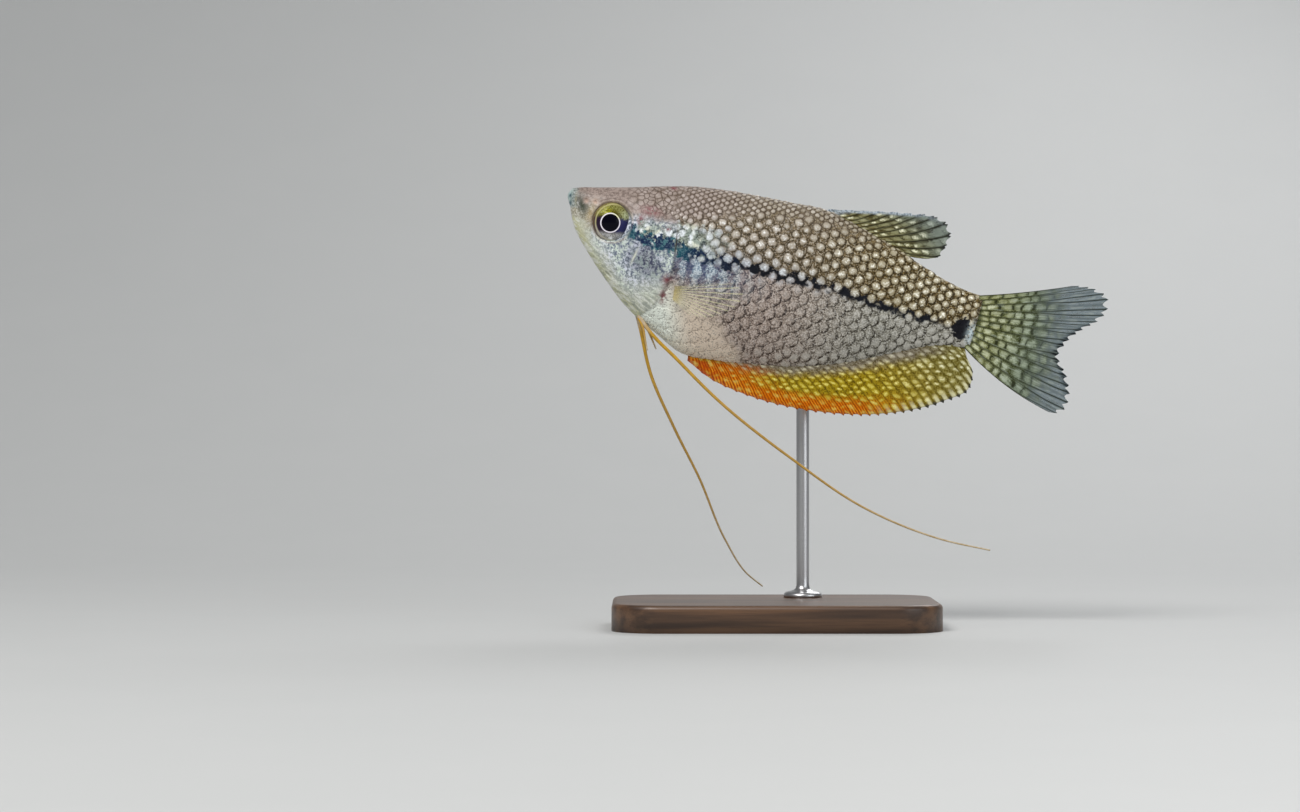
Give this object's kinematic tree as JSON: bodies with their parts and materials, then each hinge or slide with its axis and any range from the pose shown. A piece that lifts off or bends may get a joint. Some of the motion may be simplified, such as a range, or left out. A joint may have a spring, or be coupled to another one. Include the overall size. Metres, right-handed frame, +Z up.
{
  "type": "pearl gourami model on a display stand",
  "caption": "Still, life-size model of a pearl gourami with long thread-like pelvic fins, held nose up on a flat display base by a bent rod.",
  "frame": {"origin": "middle of the underside of the stand's base", "axes": "+X towards the fish's tail, -Y towards its left flank, +Z up"},
  "size_m": [0.0999, 0.04, 0.0813],
  "materials": {
    "skin": "scaled, pearly and slightly wet",
    "eye": "glossy, clear over a golden iris",
    "fin": "thin membrane with dark rays and pale cells",
    "orange_fin": "thin membrane, olive gold with orange towards its front and lower edge",
    "clear_fin": "nearly clear membrane with pale rays",
    "thread": "golden orange, paler to the tip",
    "wood": "dark oiled wood",
    "steel": "brushed"
  },
  "bodies": {
    "root": {"head": "skin", "trunk": "skin", "tail_stalk": "skin", "eye_left": "eye", "eye_right": "eye", "fin_dorsal": "fin", "fin_anal": "orange_fin", "fin_caudal_upper": "fin", "fin_caudal_lower": "fin", "fin_pectoral_left": "clear_fin", "fin_pectoral_right": "clear_fin", "pelvic_left_upper": "thread", "pelvic_left_middle": "thread", "pelvic_left_tip": "thread", "pelvic_right_upper": "thread", "pelvic_right_middle": "thread", "pelvic_right_tip": "thread", "stand_base": "wood", "stand_rod": "steel"}
  },
  "joints": []
}
